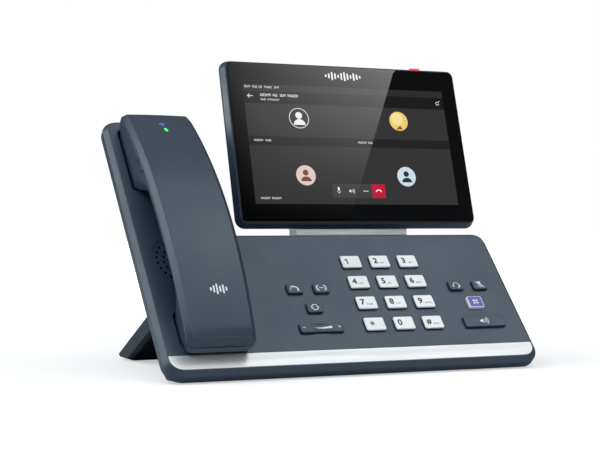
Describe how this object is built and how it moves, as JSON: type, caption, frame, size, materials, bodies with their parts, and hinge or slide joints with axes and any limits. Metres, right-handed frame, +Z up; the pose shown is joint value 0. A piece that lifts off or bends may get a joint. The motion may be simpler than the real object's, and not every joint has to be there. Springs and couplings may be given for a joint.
{
  "type": "desk ip phone",
  "caption": "Desk IP phone: inclined base with dial keys, tilting touch display on a neck, cordless handset resting in charging wells, and a clip-on foot stand behind.",
  "frame": {"origin": "centre of the footprint, on the desk surface", "axes": "+X to the user's right, +Y away from the user, +Z up"},
  "size_m": [0.2588, 0.1722, 0.2075],
  "materials": {
    "slate_plastic": "fine matte texture",
    "handset_plastic": "satin",
    "dark_plastic": "matte",
    "brushed_aluminium": "brushed along its length",
    "silver_neck": "satin silver paint",
    "steel": "machined",
    "gold_contact": "gold plated",
    "white_key": "satin",
    "purple_key": "satin",
    "display_glass": "black glass with a lit picture behind it",
    "lcd_panel": "polished",
    "circuit_board": "solder mask",
    "rubber": "matte",
    "silicone": "matte",
    "red_lens": "clear red",
    "green_lens": "clear green",
    "blue_lens": "clear blue",
    "battery_wrap": "film wrap"
  },
  "bodies": {
    "base": {"base_top_cover": "slate_plastic", "base_rear_cover": "slate_plastic", "trim_strip": "brushed_aluminium", "rear_screw_1": "steel", "rear_screw_2": "steel", "rear_screw_3": "steel", "network_socket_pair": "dark_plastic", "headset_socket": "dark_plastic", "power_socket": "dark_plastic", "usb_socket": "dark_plastic", "front_foot_left": "rubber", "front_foot_right": "rubber", "main_board": "circuit_board", "keypad_membrane": "silicone", "loudspeaker": "dark_plastic", "charge_contact_left": "gold_contact", "charge_contact_right": "gold_contact", "neck_bracket": "silver_neck", "neck_rear_cover": "silver_neck", "hinge_shaft": "steel"},
    "display": {"display_back_cover": "slate_plastic", "display_glass": "display_glass", "lcd_panel": "lcd_panel", "message_lamp": "red_lens", "display_hinge_bracket": "steel"},
    "handset": {"handset_front_shell": "handset_plastic", "handset_rear_shell": "handset_plastic", "handset_status_lamp": "green_lens", "handset_symbol_lamp": "blue_lens", "handset_earpiece": "dark_plastic", "handset_microphone": "steel", "handset_battery": "battery_wrap", "handset_board": "circuit_board", "handset_charge_pad_left": "gold_contact", "handset_charge_pad_right": "gold_contact"},
    "handset_volume": {"handset_volume_rocker": "handset_plastic"},
    "handset_mute": {"handset_mute_button": "handset_plastic"},
    "stand": {"foot_stand": "slate_plastic", "stand_foot_left": "rubber", "stand_foot_right": "rubber"},
    "base_volume": {"volume_rocker": "slate_plastic"},
    "key_1": {"key_1": "white_key"},
    "key_2": {"key_2": "white_key"},
    "key_3": {"key_3": "white_key"},
    "key_4": {"key_4": "white_key"},
    "key_5": {"key_5": "white_key"},
    "key_6": {"key_6": "white_key"},
    "key_7": {"key_7": "white_key"},
    "key_8": {"key_8": "white_key"},
    "key_9": {"key_9": "white_key"},
    "key_star": {"key_star": "white_key"},
    "key_0": {"key_0": "white_key"},
    "key_hash": {"key_hash": "white_key"},
    "key_transfer": {"key_transfer": "slate_plastic"},
    "key_conference": {"key_conference": "slate_plastic"},
    "key_redial": {"key_redial": "slate_plastic"},
    "key_headset": {"key_headset": "slate_plastic"},
    "key_mute": {"key_mute": "slate_plastic"},
    "key_app": {"key_app": "purple_key"},
    "key_speaker": {"key_speaker": "slate_plastic"}
  },
  "joints": [
    {"name": "key_1_press", "type": "slide", "parent": "base", "child": "key_1", "axis": [0, 0.7337, -0.6794], "range_m": [0, 0.0012], "stiffness_N_per_m": 400, "springref_m": -0.001},
    {"name": "key_2_press", "type": "slide", "parent": "base", "child": "key_2", "axis": [0, 0.7337, -0.6794], "range_m": [0, 0.0012], "stiffness_N_per_m": 400, "springref_m": -0.001},
    {"name": "key_3_press", "type": "slide", "parent": "base", "child": "key_3", "axis": [0, 0.7337, -0.6794], "range_m": [0, 0.0012], "stiffness_N_per_m": 400, "springref_m": -0.001},
    {"name": "key_4_press", "type": "slide", "parent": "base", "child": "key_4", "axis": [0, 0.7337, -0.6794], "range_m": [0, 0.0012], "stiffness_N_per_m": 400, "springref_m": -0.001},
    {"name": "key_5_press", "type": "slide", "parent": "base", "child": "key_5", "axis": [0, 0.7337, -0.6794], "range_m": [0, 0.0012], "stiffness_N_per_m": 400, "springref_m": -0.001},
    {"name": "key_6_press", "type": "slide", "parent": "base", "child": "key_6", "axis": [0, 0.7337, -0.6794], "range_m": [0, 0.0012], "stiffness_N_per_m": 400, "springref_m": -0.001},
    {"name": "key_7_press", "type": "slide", "parent": "base", "child": "key_7", "axis": [0, 0.7337, -0.6794], "range_m": [0, 0.0012], "stiffness_N_per_m": 400, "springref_m": -0.001},
    {"name": "key_8_press", "type": "slide", "parent": "base", "child": "key_8", "axis": [0, 0.7337, -0.6794], "range_m": [0, 0.0012], "stiffness_N_per_m": 400, "springref_m": -0.001},
    {"name": "key_9_press", "type": "slide", "parent": "base", "child": "key_9", "axis": [0, 0.7337, -0.6794], "range_m": [0, 0.0012], "stiffness_N_per_m": 400, "springref_m": -0.001},
    {"name": "key_star_press", "type": "slide", "parent": "base", "child": "key_star", "axis": [0, 0.7337, -0.6794], "range_m": [0, 0.0012], "stiffness_N_per_m": 400, "springref_m": -0.001},
    {"name": "key_0_press", "type": "slide", "parent": "base", "child": "key_0", "axis": [0, 0.7337, -0.6794], "range_m": [0, 0.0012], "stiffness_N_per_m": 400, "springref_m": -0.001},
    {"name": "key_hash_press", "type": "slide", "parent": "base", "child": "key_hash", "axis": [0, 0.7337, -0.6794], "range_m": [0, 0.0012], "stiffness_N_per_m": 400, "springref_m": -0.001},
    {"name": "key_transfer_press", "type": "slide", "parent": "base", "child": "key_transfer", "axis": [0, 0.7337, -0.6794], "range_m": [0, 0.0012], "stiffness_N_per_m": 400, "springref_m": -0.001},
    {"name": "key_conference_press", "type": "slide", "parent": "base", "child": "key_conference", "axis": [0, 0.7337, -0.6794], "range_m": [0, 0.0012], "stiffness_N_per_m": 400, "springref_m": -0.001},
    {"name": "key_redial_press", "type": "slide", "parent": "base", "child": "key_redial", "axis": [0, 0.7337, -0.6794], "range_m": [0, 0.0012], "stiffness_N_per_m": 400, "springref_m": -0.001},
    {"name": "key_headset_press", "type": "slide", "parent": "base", "child": "key_headset", "axis": [0, 0.7337, -0.6794], "range_m": [0, 0.0012], "stiffness_N_per_m": 400, "springref_m": -0.001},
    {"name": "key_mute_press", "type": "slide", "parent": "base", "child": "key_mute", "axis": [0, 0.7337, -0.6794], "range_m": [0, 0.0012], "stiffness_N_per_m": 400, "springref_m": -0.001},
    {"name": "key_app_press", "type": "slide", "parent": "base", "child": "key_app", "axis": [0, 0.7337, -0.6794], "range_m": [0, 0.0012], "stiffness_N_per_m": 400, "springref_m": -0.001},
    {"name": "key_speaker_press", "type": "slide", "parent": "base", "child": "key_speaker", "axis": [0, 0.7337, -0.6794], "range_m": [0, 0.0012], "stiffness_N_per_m": 400, "springref_m": -0.001},
    {"name": "volume_rock", "type": "hinge", "parent": "base", "child": "base_volume", "pos_m": [-0.0215, -0.06327, 0.02686], "axis": [0, 0.6794, 0.7337], "range_deg": [-2.5, 2.5], "stiffness_Nm_per_rad": 0.16},
    {"name": "display_tilt", "type": "hinge", "parent": "base", "child": "display", "pos_m": [0.0356, 0.02469, 0.12566], "axis": [1, 0, 0], "range_deg": [-20, 8]},
    {"name": "handset_lift", "type": "slide", "parent": "base", "child": "handset", "axis": [0, -0.7337, 0.6794], "range_m": [0, 0.12]},
    {"name": "handset_volume_rock", "type": "hinge", "parent": "handset", "child": "handset_volume", "pos_m": [-0.1173, 0.01353, 0.1407], "axis": [0, -0.6056, 0.7958], "range_deg": [-1.5, 1.5], "stiffness_Nm_per_rad": 0.14},
    {"name": "handset_mute_press", "type": "slide", "parent": "handset", "child": "handset_mute", "axis": [1, 0, 0], "range_m": [0, 0.0006], "stiffness_N_per_m": 800, "springref_m": -0.0006},
    {"name": "stand_slide", "type": "slide", "parent": "base", "child": "stand", "axis": [0, -0.6794, -0.7337], "range_m": [0, 0.012]}
  ]
}
